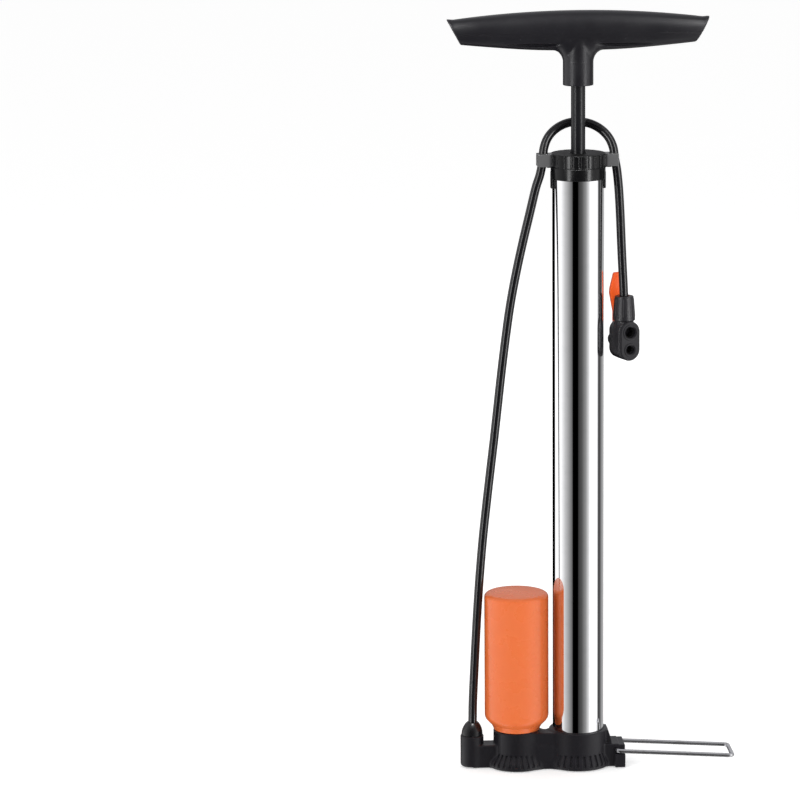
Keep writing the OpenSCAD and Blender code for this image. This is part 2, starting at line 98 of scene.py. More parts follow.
def revolve(name, profile, centre=(0, 0), sides=160, sharp_angle=None):
    """Closed solid of revolution about a vertical axis from an (r, z) outline that runs upwards outside.
    Points at r = 0 close the ends; an outline with no such point makes a ring."""
    closed = all(r > 0 for r, _ in profile)
    angles = np.linspace(0, 2 * math.pi, sides, endpoint=False)
    verts, rows = [], []
    for r, z in profile:
        if r == 0:
            rows.append([len(verts)] * sides)
            verts.append((centre[0], centre[1], z))
        else:
            rows.append(list(range(len(verts), len(verts) + sides)))
            verts += [(centre[0] + r * math.cos(a), centre[1] + r * math.sin(a), z) for a in angles]
    faces = []
    pairs = list(zip(rows, rows[1:])) + ([(rows[-1], rows[0])] if closed else [])
    for low, high in pairs:
        for i in range(sides):
            j = (i + 1) % sides
            corners = [low[i], low[j], high[j], high[i]]
            corners = [c for k, c in enumerate(corners) if c != corners[k - 1]]
            if len(corners) > 2:
                faces.append(corners)
    return add_object(name, verts, faces, sharp_angle)


def round_corners(points, radius, steps=5):
    """Open outline with its inner corners rounded. radius is one number, or one for each inner corner."""
    points = [Vector(p) for p in points]
    radii = radius if isinstance(radius, (list, tuple)) else [radius] * (len(points) - 2)
    out = [tuple(points[0])]
    for k, r in enumerate(radii, 1):
        before, here, after = points[k - 1], points[k], points[k + 1]
        a, b = (before - here), (after - here)
        reach = min(r, 0.49 * a.length, 0.49 * b.length)
        a, b = a.normalized() * reach, b.normalized() * reach
        if r == 0:
            out.append(tuple(here))
            continue
        for i in range(steps + 1):
            t = i / steps
            out.append(tuple(here + a * (1 - t) ** 2 + b * t ** 2))
    out.append(tuple(points[-1]))
    return out


def sweep(name, line, radius, sides=24, cap_steps=0, reference=(0, 1, 0)):
    """Tube along a line of points. radius is one number or one for each point."""
    line = np.asarray(line, float)
    count = len(line)
    radii = np.full(count, radius) if np.isscalar(radius) else np.asarray(radius, float)
    tangent = np.gradient(line, axis=0)
    tangent /= np.linalg.norm(tangent, axis=1)[:, None]
    side = np.cross(tangent, reference)
    side /= np.linalg.norm(side, axis=1)[:, None]
    up = np.cross(side, tangent)
    rings = [(line[k], side[k], up[k], radii[k]) for k in range(count)]
    if cap_steps:
        first = [(line[0] - tangent[0] * radii[0] * math.sin(a), side[0], up[0], radii[0] * math.cos(a))
                 for a in np.linspace(math.pi / 2.2, 0, cap_steps, endpoint=False)]
        last = [(line[-1] + tangent[-1] * radii[-1] * math.sin(a), side[-1], up[-1], radii[-1] * math.cos(a))
                for a in np.linspace(0, math.pi / 2.2, cap_steps + 1)[1:]]
        rings = first + rings + last
    angles = np.linspace(0, 2 * math.pi, sides, endpoint=False)
    verts = np.concatenate([c + r * (np.cos(angles)[:, None] * s + np.sin(angles)[:, None] * u)
                            for c, s, u, r in rings])
    faces = []
    for k in range(len(rings) - 1):
        low, high = k * sides, (k + 1) * sides
        faces += [[low + j, high + j, high + (j + 1) % sides, low + (j + 1) % sides] for j in range(sides)]
    faces += [list(range(sides)), list(range(len(verts) - 1, len(verts) - sides - 1, -1))]
    return add_object(name, verts, faces, 50)


def catmull(points, steps):
    """Smooth line through the points, with that many steps between neighbours."""
    p = [Vector(q) for q in points]
    out = []
    for i in range(len(p) - 1):
        a, b, c, d = p[max(i - 1, 0)], p[i], p[i + 1], p[min(i + 2, len(p) - 1)]
        for k in range(steps):
            t = k / steps
            out.append(0.5 * (2 * b + (c - a) * t + (2 * a - 5 * b + 4 * c - d) * t * t
                              + (3 * b - a - 3 * c + d) * t ** 3))
    return [tuple(v) for v in out] + [tuple(p[-1])]


# ---------------------------------------------------------------- moulded shapes
# A shape is a function of x, y, z arrays that is negative inside and close to the distance in mm.

def union(a, b, fillet=0.01):
    """Both shapes, their inner corner filled with that radius."""
    corner = np.hypot(np.maximum(fillet - a, 0), np.maximum(fillet - b, 0))
    return np.maximum(fillet, np.minimum(a, b)) - corner


def common(a, b, edge=0.01):
    """What both shapes share, its outer edge rounded with that radius."""
    return np.minimum(-edge, np.maximum(a, b)) + np.hypot(np.maximum(edge + a, 0), np.maximum(edge + b, 0))


def cut(a, b, edge=0.01):
    """The first shape without the second."""
    return common(a, -b, edge)


def block(x, y, z, low, high, edge=0.5):
    """Box between two corners with rounded edges."""
    q = [np.abs(v - (lo + hi) / 2) - ((hi - lo) / 2 - edge) for v, lo, hi in zip((x, y, z), low, high)]
    outside = np.sqrt(sum(np.maximum(v, 0) ** 2 for v in q))
    return outside + np.minimum(np.maximum(np.maximum(q[0], q[1]), q[2]), 0) - edge


def rod(rho, along, radius, low, high, edge=0.3):
    """Cylinder from the distance to its axis and the place along it."""
    q0 = rho - (radius - edge)
    q1 = np.abs(along - (low + high) / 2) - ((high - low) / 2 - edge)
    return np.hypot(np.maximum(q0, 0), np.maximum(q1, 0)) + np.minimum(np.maximum(q0, q1), 0) - edge


def ease(v, low, high):
    """0 below low, 1 above high, and smooth between them."""
    t = np.clip((v - low) / (high - low), 0, 1)
    return t * t * (3 - 2 * t)


def surface(shape, low, high, step, relax=2):
    """Points and quads of the surface where shape is 0, on a grid over the box, pulled onto it exactly."""
    low, high = np.asarray(low, float), np.asarray(high, float)
    count = np.ceil((high - low) / step).astype(int) + 1
    axes = [low[i] + step * np.arange(count[i]) for i in range(3)]
    value = shape(*np.meshgrid(*axes, indexing="ij")).astype(np.float32)
    inside = value < 0
    cells = tuple(count - 1)
    total, hits = np.zeros(cells + (3,), np.float32), np.zeros(cells, np.float32)
    for axis in range(3):
        others = [k for k in range(3) if k != axis]
        for i in (0, 1):
            for j in (0, 1):
                start, offset = [slice(0, n) for n in cells], np.zeros(3)
                for k, o in zip(others, (i, j)):
                    start[k] = slice(o, cells[k] + o)
                    offset[k] = o
                end = list(start)
                end[axis] = slice(1, cells[axis] + 1)
                v0, v1 = value[tuple(start)], value[tuple(end)]
                crossing = (v0 < 0) != (v1 < 0)
                t = np.where(crossing, v0 / np.where(crossing, v0 - v1, 1), 0)
                hits += crossing
                for k in range(3):
                    total[..., k] += crossing * (t if k == axis else offset[k])
    active = hits > 0
    index = np.full(cells, -1)
    index[active] = np.arange(active.sum())
    points = low + step * (np.argwhere(active) + total[active] / hits[active][:, None])
    quads = []
    for axis in range(3):
        a, b = [k for k in range(3) if k != axis]
        first = [slice(1, n - 1) for n in count]
        first[axis] = slice(0, count[axis] - 1)
        second = list(first)
        second[axis] = slice(1, count[axis])
        here, there = inside[tuple(first)], inside[tuple(second)]
        where = np.argwhere(here != there)
        entering = here[tuple(where.T)]
        corner = []
        for da, db in ((0, 0), (1, 0), (1, 1), (0, 1)):
            cell = where.copy()
            cell[:, a] += da
            cell[:, b] += db
            corner.append(index[tuple(cell.T)])
        ring = np.stack(corner, 1)
        flip = entering if axis != 1 else ~entering
        quads.append(np.where(flip[:, None], ring, ring[:, ::-1]))
    quads = np.concatenate(quads)
    edges = np.concatenate([quads[:, [k, (k + 1) % 4]] for k in range(4)])
    degree = np.bincount(edges[:, 0], minlength=len(points))[:, None]
    for turn in range(relax + 2):
        if turn < relax:
            mean = np.stack([np.bincount(edges[:, 0], points[edges[:, 1], k], len(points))
                             for k in range(3)], 1) / degree
            points = points + 0.6 * (mean - points)
        for _ in range(2):
            delta = 0.02
            base = shape(*points.T)
            slope = np.stack([(shape(*(points + delta * np.eye(3)[k]).T) - base) / delta
                              for k in range(3)], 1)
            move = (base / np.maximum((slope ** 2).sum(1), 0.05))[:, None] * slope
            points = points - np.clip(move, -0.5 * step, 0.5 * step)
    return points, quads


def mould(name, shape, low, high, step, relax=2):
    return add_object(name, *surface(shape, low, high, step * FINE, relax))


# ---------------------------------------------------------------- materials

class NodeTree:
    """Short way to add and link shader nodes. A value is a number, a colour or another node's output."""

    def __init__(self, tree):
        self.tree = tree

    def add(self, kind, **settings):
        node = self.tree.nodes.new(kind)
        for key, value in settings.items():
            setattr(node, key, value)
        return node

    def put(self, socket, value):
        if isinstance(value, bpy.types.NodeSocket):
            self.tree.links.new(value, socket)
        else:
            socket.default_value = value

    def feed(self, node, *values):
        """Gives the node's first inputs their values, and returns its first output."""
        for socket, value in zip(node.inputs, values):
            self.put(socket, value)
        return node.outputs[0]

    def math(self, operation, *values):
        return self.feed(self.add("ShaderNodeMath", operation=operation), *values)

    def spread(self, value, low, high, to_low, to_high):
        """Maps a range of value onto another, clamped."""
        return self.feed(self.add("ShaderNodeMapRange"), value, low, high, to_low, to_high)

    def mix(self, factor, a, b):
        node = self.add("ShaderNodeMix", data_type="RGBA")
        self.put(node.inputs["Factor"], factor)
        for socket, colour in zip([s for s in node.inputs if s.type == "RGBA"], (a, b)):
            self.put(socket, colour if isinstance(colour, bpy.types.NodeSocket) else (*colour, 1))
        return next(s for s in node.outputs if s.type == "RGBA")


class Nodes(NodeTree):
    """Shader nodes of one material."""

    def __init__(self, name):
        self.material = bpy.data.materials.new(name)
        self.material.use_nodes = True
        super().__init__(self.material.node_tree)
        self.shader = self.tree.nodes["Principled BSDF"]
        self.place = self.add("ShaderNodeTexCoord").outputs["Object"]

    def noise(self, scale, detail=3.0, roughness=0.5, stretch=(1, 1, 1)):
        mapping = self.add("ShaderNodeMapping")
        mapping.inputs["Scale"].default_value = stretch
        self.put(mapping.inputs["Vector"], self.place)
        node = self.add("ShaderNodeTexNoise")
        self.put(node.inputs["Vector"], mapping.outputs["Vector"])
        self.put(node.inputs["Scale"], scale)
        self.put(node.inputs["Detail"], detail)
        self.put(node.inputs["Roughness"], roughness)
        return node.outputs["Fac"]

    def cells(self, scale):
        node = self.add("ShaderNodeTexVoronoi", feature="F1")
        self.put(node.inputs["Vector"], self.place)
        self.put(node.inputs["Scale"], scale)
        return node.outputs["Distance"]

    def bump(self, height, distance_mm, strength=1.0, normal=None):
        node = self.add("ShaderNodeBump")
        self.put(node.inputs["Height"], height)
        self.put(node.inputs["Distance"], distance_mm * MM)
        self.put(node.inputs["Strength"], strength)
        if normal is not None:
            self.put(node.inputs["Normal"], normal)
        return node.outputs["Normal"]

    def edges(self, low, high):
        """1 on sharp outer edges, 0 elsewhere."""
        return self.spread(self.add("ShaderNodeNewGeometry").outputs["Pointiness"], low, high, 0, 1)

    def finish(self, **sockets):
        for key, value in sockets.items():
            self.put(self.shader.inputs[key.replace("_", " ")], value)
        return self.material


def plastic(name, colour, worn, roughness, grain_mm, grain_depth, painted_light_ends=None, specular=0.5):
    """Moulded plastic: fine eroded grain, faint flow marks, and edges rubbed a little lighter.
    The optional ends setting is (distance from the YZ plane, width of the change, colour) of ends painted
    lighter, such as ears: painted light that brightens their flat faces and takes out the shade next to the
    cap."""
    n = Nodes(name)
    flow = n.noise(14, 3, 0.55)
    grain = n.cells(1000 / grain_mm)
    fine = n.noise(2600 / grain_mm, 2)
    rubbed = n.math("MULTIPLY", n.edges(0.52, 0.6), n.spread(n.noise(90, 4), 0.4, 0.65, 0.15, 0.9))
    deep, pale = [c * 0.9 for c in colour], [min(1, c * 1.1) for c in colour]
    tone = n.mix(n.spread(flow, 0.35, 0.65, 0, 1), deep, pale)
    dust = n.spread(n.noise(420, 4, 0.65), 0.55, 0.78, 0, 0.22)
    tone = n.mix(dust, tone, worn)
    tone = n.mix(rubbed, tone, worn)
    # painted light: beyond the given distance from the YZ plane the colour turns lighter, standing in for
    # light on the ears and lifting the shade beside the cap
    if painted_light_ends:
        split = n.add("ShaderNodeSeparateXYZ")
        n.put(split.inputs[0], n.place)
        reach = n.math("ABSOLUTE", split.outputs["X"])
        tone = n.mix(n.spread(reach, painted_light_ends[0], painted_light_ends[0] + painted_light_ends[1], 0, 1), tone, painted_light_ends[2])
    rough = n.spread(n.math("ADD", n.noise(60, 4), n.math("MULTIPLY", grain, 0.35)), 0.35, 0.95,
                     roughness - 0.05, roughness + 0.08)
    height = n.math("ADD", n.math("MULTIPLY", grain, 0.7), n.math("MULTIPLY", fine, 0.3))
    normal = n.bump(height, grain_depth, 1.0)
    normal = n.bump(flow, 0.05, 0.6, normal)
    return n.finish(Base_Color=tone, Roughness=rough, Normal=normal, Specular_IOR_Level=specular)


def chrome(name):
    """Plated tube: mirror with faint draw lines, haze and a few hairline scratches."""
    n = Nodes(name)
    lines = n.noise(30, 3, 0.5, (1, 1, 0.03))
    wave = n.noise(9, 2, 0.4, (1, 1, 0.35))
    haze = n.noise(120, 5, 0.6)
    scratch = n.spread(n.noise(700, 2, 0.5, (1, 1, 0.015)), 0.66, 0.74, 0, 1)
    rough = n.math("ADD", n.spread(haze, 0.45, 0.8, 0.028, 0.07), n.math("MULTIPLY", scratch, 0.05))
    normal = n.bump(lines, 0.004, 0.6)
    normal = n.bump(wave, 0.05, 0.35, normal)
    tone = n.mix(n.spread(haze, 0.5, 0.8, 0, 1), (0.9, 0.9, 0.915), (0.84, 0.845, 0.86))
    return n.finish(Base_Color=tone, Metallic=1.0, Roughness=rough, Normal=normal)


def bare_metal(name, colour, dull, roughness, stretch):
    """Drawn or turned metal with fine marks along it."""
    n = Nodes(name)
    marks = n.noise(900, 3, 0.6, stretch)
    spots = n.noise(160, 5, 0.6)
    tone = n.mix(n.spread(spots, 0.5, 0.75, 0, 0.8), colour, dull)
    rough = n.spread(n.math("ADD", marks, spots), 0.7, 1.3, roughness - 0.06, roughness + 0.12)
    return n.finish(Base_Color=tone, Metallic=1.0, Roughness=rough, Normal=n.bump(marks, 0.01, 0.5))


def rubber(name, colour, bloom, roughness, depth=0.02):
    """Black rubber with a fine skin, faint draw lines and a dusty bloom."""
    n = Nodes(name)
    skin = n.noise(2400, 3, 0.6)
    lines = n.noise(500, 3, 0.5)
    patches = n.noise(45, 4, 0.6)
    tone = n.mix(n.spread(patches, 0.45, 0.75, 0, 0.6), colour, bloom)
    rough = n.spread(n.math("ADD", patches, n.math("MULTIPLY", lines, 0.5)), 0.5, 1.0,
                     roughness - 0.06, roughness + 0.1)
    normal = n.bump(skin, depth, 0.6)
    normal = n.bump(lines, 1.5 * depth, 0.4, normal)
    return n.finish(Base_Color=tone, Roughness=rough, Normal=normal)


def gloss_plastic(name, colour, deep, roughness, scatter=0.12, specular=0.5):
    """Glossy coloured moulding: orange peel, slight sink marks and colour flow, with soft scattering."""
    n = Nodes(name)
    flow = n.noise(11, 4, 0.55, (1, 1, 0.4))
    peel = n.noise(330, 2, 0.4)
    speck = n.noise(900, 4, 0.6)
    scuff = n.spread(n.noise(160, 5, 0.7), 0.58, 0.75, 0, 1)
    tone = n.mix(n.spread(flow, 0.3, 0.7, 0, 0.6), colour, deep)
    tone = n.mix(n.spread(speck, 0.6, 0.8, 0, 0.12), tone, [min(1, c * 1.2) for c in colour])
    rough = n.math("ADD", n.spread(n.noise(70, 4), 0.3, 0.7, roughness - 0.04, roughness + 0.06),
                   n.math("MULTIPLY", scuff, 0.08))
    normal = n.bump(peel, 0.03, 0.5)
    normal = n.bump(flow, 0.25, 0.3, normal)
    return n.finish(Base_Color=tone, Roughness=rough, Normal=normal, Subsurface_Weight=scatter,
                    Subsurface_Radius=(0.004, 0.0015, 0.0008), Subsurface_Scale=1.0,
                    Specular_IOR_Level=specular)


BASE_PLASTIC = plastic("base_plastic", (0.0112, 0.0102, 0.0138), (0.038, 0.035, 0.043), 0.42, 0.5, 0.035,
                       specular=0.4)
HANDLE_PLASTIC = plastic("handle_plastic", (0.0094, 0.0088, 0.012), (0.034, 0.032, 0.039), 0.33, 0.45, 0.022,
                         specular=0.34)
# the cap's ears are painted lighter from 19.6 mm out: painted light on their faces
CAP_PLASTIC = plastic("cap_plastic", (0.0042, 0.0042, 0.0048), (0.018, 0.018, 0.019), 0.19, 0.4, 0.007,
                      painted_light_ends=(0.0196, 0.0022, (0.115, 0.115, 0.117)), specular=0.2)
# painted shade: a matt, hardly shiny copy of the cap plastic for the flat top, so that the top stays dark
# under the lamps
CAP_TOP_PAINTED_SHADE = plastic("cap_top_painted_shade", (0.0085, 0.0085, 0.009), (0.02, 0.02, 0.021), 0.5, 0.4, 0.02,
                          specular=0.1)
HEAD_PLASTIC = plastic("head_plastic", (0.0125, 0.0115, 0.015), (0.045, 0.042, 0.05), 0.36, 0.4, 0.02)
INNER_PLASTIC = plastic("inner_plastic", (0.6, 0.59, 0.55), (0.75, 0.74, 0.7), 0.4, 0.6, 0.02)
TANK_PLASTIC = gloss_plastic("tank_plastic", (0.8, 0.17, 0.043), (0.76, 0.15, 0.036), 0.27)
LEVER_PLASTIC = gloss_plastic("lever_plastic", (0.98, 0.125, 0.022), (0.95, 0.11, 0.018), 0.3, 0)
CHROME = chrome("barrel_chrome")
WIRE = bare_metal("pedal_wire", (0.66, 0.66, 0.68), (0.42, 0.41, 0.4), 0.24, (0.05, 1, 1))
STEEL = bare_metal("zinc_steel", (0.58, 0.58, 0.6), (0.4, 0.4, 0.4), 0.34, (1, 1, 0.2))
PIN_STEEL = bare_metal("blackened_steel", (0.05, 0.05, 0.055), (0.03, 0.03, 0.03), 0.36, (1, 1, 1))
BRASS = bare_metal("turned_brass", (0.72, 0.53, 0.25), (0.5, 0.36, 0.17), 0.3, (1, 1, 4))
HOSE_RUBBER = rubber("hose_rubber", (0.006, 0.0058, 0.007), (0.0095, 0.009, 0.0105), 0.15, 0.006)
BOOT_RUBBER = rubber("boot_rubber", (0.0065, 0.0062, 0.0076), (0.014, 0.014, 0.0155), 0.3)
SEAL_RUBBER = rubber("seal_rubber", (0.014, 0.014, 0.014), (0.03, 0.03, 0.03), 0.55)
ROD_PAINT = gloss_plastic("rod_paint", (0.009, 0.009, 0.011), (0.012, 0.012, 0.014), 0.26, 0, 0.26)


def dress(item, material, body=None, replaced=()):
    """Gives a piece its material, slot, body and the CAD nodes that it stands for."""
    item.data.materials.clear()
    item.data.materials.append(material)
    if body:
        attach(item, body)
    if replaced:
        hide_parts(*replaced)
    return item


# ---------------------------------------------------------------- hose

HOSE_D = 6.5
ROUTE = [
    (-80, 0, 25), (-79.5, 0, 36), (-79.2, 0, 50), (-78, 0, 75), (-76.7, 0, 100),
    (-75.2, 0, 125), (-73.4, 0, 150), (-71.2, 0, 175), (-68.5, 0, 200), (-65.6, 0, 225),
    (-62.6, 0, 250), (-59.8, 0, 275), (-57, 0, 300), (-53.9, 0, 325), (-50.4, 0, 350),
    (-46, 0, 374), (-41, 0, 397), (-35.5, 0, 420), (-31.2, -0.2, 438), (-28, -0.6, 448.3),
    (-25.9, 1, 458.4), (-24.7, 4.7, 466.8), (-21.3, 8.9, 474.1), (-15.4, 12.5, 479.7),
    (-7.6, 14.8, 483.4), (1.2, 15.5, 484.6), (10, 14.5, 483.2), (17.5, 12, 479.5),
    (23, 8.3, 474), (26.1, 4.3, 467.1), (27.2, 1, 458.4), (28.6, 0.1, 450),
    (29.9, -0.3, 437), (30.9, -0.7, 420), (31.6, -1.1, 403), (32.3, -1.5, 386),
    (33.2, -1.8, 368), (33.8, -2, 354), (33.9, -2, 345.2),
]

hose_line = catmull(ROUTE, 10)
hose = sweep("hose_tube", hose_line, HOSE_D / 2, 32)
dress(hose, HOSE_RUBBER, "pump", ["hose"])


# ---------------------------------------------------------------- barrel and rod

barrel = revolve("barrel_tube", [
    (18.15, 10.0), (18.75, 10.0), (19.0, 10.25), (19.0, 459.5), (18.75, 459.8), (18.15, 459.8),
    (17.9, 459.5), (17.9, 10.3)], sides=256, sharp_angle=35)
dress(barrel, CHROME, "pump", ["barrel"])

piston_rod = revolve("rod_shaft", [
    (0, 55), (3.6, 55), (4, 55.5), (4, 84.5), (4.8, 84.5), (5.25, 85), (5.25, 537.4), (4.8, 538),
    (4, 538), (4, 551.4), (3.5, 552), (0, 552)], sides=96, sharp_angle=35)
dress(piston_rod, ROD_PAINT, "rod", ["piston_rod"])


# ---------------------------------------------------------------- air tank

TANK_X = -46.3
tank_outline = round_corners([
    (0, 18), (13, 18), (13, 28.5), (17.3, 28.5), (17.5, 29.6), (19.1, 32.6),
    (20.2, 33.6), (24, 37.6), (24, 131.7), (21.8, 133.5), (10.5, 134.2), (0, 134.5)],
    [0.4, 0.4, 0.6, 0.5, 0.4, 0.9, 4.0, 2.6, 2.0, 3.0], 7)
tank = revolve("air_tank_shell", tank_outline, (TANK_X, 0), 192, 40)
dress(tank, TANK_PLASTIC, "pump", ["air_tank"])


# ---------------------------------------------------------------- foot

SOCKET_X = -80


def flared(x, y, z, centre_x, cup_r, foot_r, flutes_from, flutes_to):
    """Cup on a flared foot whose slope is fluted over the given angles, measured from the front."""
    dx = x - centre_x
    rho = np.hypot(dx, y)
    turn = np.degrees(np.arctan2(dx, -y))
    side = foot_r + (cup_r - foot_r) * ease(z, 3.4, 11.4)
    wave = ease(np.cos(np.radians(turn * 30)), -0.5, 0.1)
    around = ease(np.abs(turn), 0, 0.1)
    mask = np.zeros_like(turn)
    behind = (180 - flutes_to, 180 - flutes_from)
    for low, high in ((flutes_from, flutes_to), behind, (behind[0] - 360, behind[1] - 360)):
        mask = np.maximum(mask, ease(turn, low - 1, low + 1) * (1 - ease(turn, high - 1, high + 1)))
    side = side - 1.35 * (1 - wave) * mask * around * ease(z, 2.2, 3.6) * (1 - ease(z, 10.4, 11.6))
    wall = (rho - side) * 0.94
    return common(common(wall, z - 28, 0.9), -z, 1.8)


def base_shape(x, y, z):
    lobe = flared(x, y, z, 0, 21.9, 24.45, -54, 54)
    tank_lobe = flared(x, y, z, TANK_X, 17.5, 22.2, -58, 54)
    web = block(x, y, z, (-46.3, -15.4, 0), (0, 15.4, 21.5), 1.2)
    front = block(x, y, z, (-46.3, -15.4, 1), (0, -1.9, 28), 0.8)
    bridge = block(x, y, z, (-80, -8, 0), (-46.3, 8, 17.4), 1.2)
    socket = common(rod(np.hypot(x - SOCKET_X, y), z, 8.7, 0, 24.2, 0.7), -z, 2.5)
    body = union(lobe, tank_lobe, 1.0)
    body = union(body, union(web, front, 1.0), 3.0)
    body = union(body, union(bridge, socket, 1.2), 1.5)
    neck = block(x, y, z, (12, -11.6, 0), (30, 11.6, 17.4), 0.7)
    head = block(x, y, z, (26, -11.6, 0), (34.4, 11.6, 16.9), 0.7)
    ledge = block(x, y, z, (26.6, -15, 0), (34.4, 15, 10.4), 0.7)
    gusset = common(block(x, y, z, (12, -9, 0), (24.6, 9, 27.5), 0.6),
                    (x - 22) * 0.951 + (z - 27.5) * 0.309, 0.5)
    body = union(body, union(union(neck, head, 0.6), ledge, 0.6), 1.2)
    body = union(body, gusset, 0.8)
    rho, rho_tank, rho_socket = np.hypot(x, y), np.hypot(x - TANK_X, y), np.hypot(x - SOCKET_X, y)
    body = cut(body, rod(rho, z, 19.06, 8, 60, 0.2), 0.5)
    body = cut(body, rod(rho_tank, z, 13.06, 16, 60, 0.2), 0.3)
    body = cut(body, rod(rho_tank, z, 15.9, 27.3, 60, 0.3), 0.3)
    body = cut(body, rod(rho_socket, z, 6.2, 17.5, 60, 0.2), 0.3)
    pivot = np.hypot(x - 27.7, z - 13)
    body = cut(body, rod(pivot, np.abs(y), 1.62, 5.4, 30, 0.1), 0.25)
    return common(body, -z, 0.5)


base = mould("foot_moulding", base_shape, (-90, -25.5, -1.2), (36, 25.5, 29.4), 0.5)
dress(base, BASE_PLASTIC, "pump", ["base"])


# ---------------------------------------------------------------- boot on the hose

boot_outline = round_corners([
    (3.35, 17.6), (6.1, 17.6), (6.1, 24.2), (8.0, 24.25), (7.75, 27.6), (6.9, 30.2), (5.7, 32.4), (4.3, 34.1),
    (3.35, 34.2)], [0.3, 0.2, 0.5, 1.5, 1.5, 1.4, 0.7], 5)
boot = revolve("boot_shell", boot_outline, (0, 0), 96, 50)
for vertex in boot.data.vertices:
    lift = max(0.0, vertex.co.z / MM - 25) / 11
    vertex.co.x += (SOCKET_X + 0.5 * lift) * MM
dress(boot, BOOT_RUBBER, "pump", ["hose_boot"])


# ---------------------------------------------------------------- cap

CLIP_Y, CLIP_Z = 1, 458.4
CLIPS = {-1: (25.9, 10.1, 16), 1: (27.2, 8.3, 13.8)}      # reach, lean inwards and backwards


def clip_axis(x, y, z, side):
    """Distance to the hose's axis in a clip, and the place across it."""
    reach, lean, back = CLIPS[side][0], math.radians(CLIPS[side][1]), math.radians(CLIPS[side][2])
    dx, dy, dz = x - side * reach, y - CLIP_Y, z - CLIP_Z
    dx = dx + side * math.tan(lean) * dz
    dy = dy - math.tan(back) * dz
    return np.hypot(dx, dy), dx, dy


def cap_shape(x, y, z):
    rho = np.hypot(x, y)
    turn = np.degrees(np.arctan2(x, -y))
    body = common(rod(rho, z, 20.2, 445, 464, 0.5), z - 464, 1.1)
    for side in (-1, 1):
        low = (12 if side > 0 else -30.4, -5.6, 453.5)
        high = (29.6 if side > 0 else -12, 6, 463.4)
        body = union(body, block(x, y, z, low, high, 0.6), 0.5)
    tab = common(common(rod(rho, z, 20.4, 438, 450, 0.4), np.abs(y) - 6, 0.5), -(rho - 19.04), 0.1)
    body = union(body, tab, 0.2)
    # grip slots, front and back
    step = 16.4
    near = (turn + 1.5 + step / 2) % step - step / 2
    far_side = np.where(np.abs(turn) > 90, 180 - np.abs(turn), np.abs(turn))
    across = np.abs(near) * math.pi / 180 * 19.5
    slot = common(common(across - 0.8, 454.6 - z, 0.3), 19.75 - rho, 0.2)
    slot = common(slot, far_side - 62, 0.1)
    body = cut(body, slot, 0.35)
    body = cut(body, np.maximum(np.abs(z - 453.9) - 0.22, 19.85 - rho), 0.12)
    # bores for the hose, open outwards
    for side in (-1, 1):
        rho_clip, dx, dy = clip_axis(x, y, z, side)
        mouth = common(np.abs(dy) - 2.6, -side * dx, 0.1)
        body = cut(body, union(rho_clip - 3.45, mouth, 0.3), 0.4)
    body = cut(body, common(np.abs(rho - 18.48) - 0.54, z - 459.85, 0.05), 0.1)
    body = cut(body, rod(rho, z, 14.9, 400, 455, 0.5), 0.3)
    body = cut(body, rod(rho, z, 6.25, 400, 500, 0.2), 0.6)
    return body


cap = mould("cap_moulding", cap_shape, (-32.4, -21.6, 437), (32.4, 21.6, 465.4), 0.4)
dress(cap, CAP_PLASTIC, "pump", ["top_cap"])
# painted shade: the cap's flat upward faces take the duller copy of its plastic
cap.data.materials.append(CAP_TOP_PAINTED_SHADE)
for polygon in cap.data.polygons:
    flat_up = polygon.normal.z > 0.9 and polygon.center.z > 463.2 * MM
    if flat_up and polygon.center.xy.length < 19.6 * MM:
        polygon.material_index = 1


# ---------------------------------------------------------------- handle

def handle_shape(x, y, z):
    u = np.abs(x) / 96.2
    top = 568.2 - 6.4 * u ** 2 + 0.9 * ease(np.abs(x), 90.5, 96.2)
    bottom = 538 + 4.1 * (np.abs(x) / 85) ** 2
    middle, half = (top + bottom) / 2, (top - bottom) / 2
    depth = 12.7 - 5.6 * np.minimum(u, 1.03) ** 4
    v = (z - middle) / half
    w = y / depth
    level = (np.abs(v) ** 2.35 + np.abs(w) ** 2.35) ** (1 / 2.35)
    bar = (level - 1) * np.minimum(half, depth)
    # the lower half is drawn in below a crease that fades out towards the stem
    crease = ease(np.abs(x), 22, 78)
    below = np.maximum(-v - 0.06, 0)
    bar = bar + (0.9 + 0.85 * crease) * (1 - np.exp(-4 * below))
    bar = bar + 0.5 * crease * ease(0.075 - np.abs(v + 0.09), 0, 0.06)
    ends = (np.abs(x) - (96.2 - (562.7 - z) * 0.548)) * 0.877
    bar = common(bar, ends, 0.55)
    # finger grooves under the front and the back
    lens = np.sqrt(((np.abs(x) - 37) / 28) ** 2 + ((z - 543.4 - 0.0013 * (np.abs(x) - 37) ** 2) / 1.5) ** 2
                   + ((np.abs(y) - 10.6) / 3.6) ** 2)
    bar = cut(bar, (lens - 1) * 1.4, 0.25)
    rho = np.hypot(x, y)
    swell = 1 + 0.09 * ease(z, 531.8, 542.8)
    stem = common(np.hypot(x, y / swell) - 11.15, 513.6 - z, 0.5)
    stem = common(stem, z - 550.8, 8)
    body = union(bar, stem, 2.0 + 5.5 * ease(np.abs(x) - 0.4 * np.abs(y), -2, 9))
    line = np.maximum(np.abs(z - 531.6) - 0.16, 10.98 - rho)
    body = cut(body, np.where(z < 532.6, line, 5), 0.1)
    return cut(body, rod(rho, z, 5.3, 500, 538.8, 0.2), 0.5)


handle = mould("handle_moulding", handle_shape, (-97.6, -14.2, 512.4), (97.6, 14.2, 569.4), 0.58)
dress(handle, HANDLE_PLASTIC, "rod", ["handle"])


# ---------------------------------------------------------------- pedal

HINGE = Vector((27.7, 0, 13))
DROOP = math.radians(3.6)


def pedal_point(along, across):
    return (HINGE.x + along * math.cos(DROOP), across, HINGE.z - along * math.sin(DROOP))


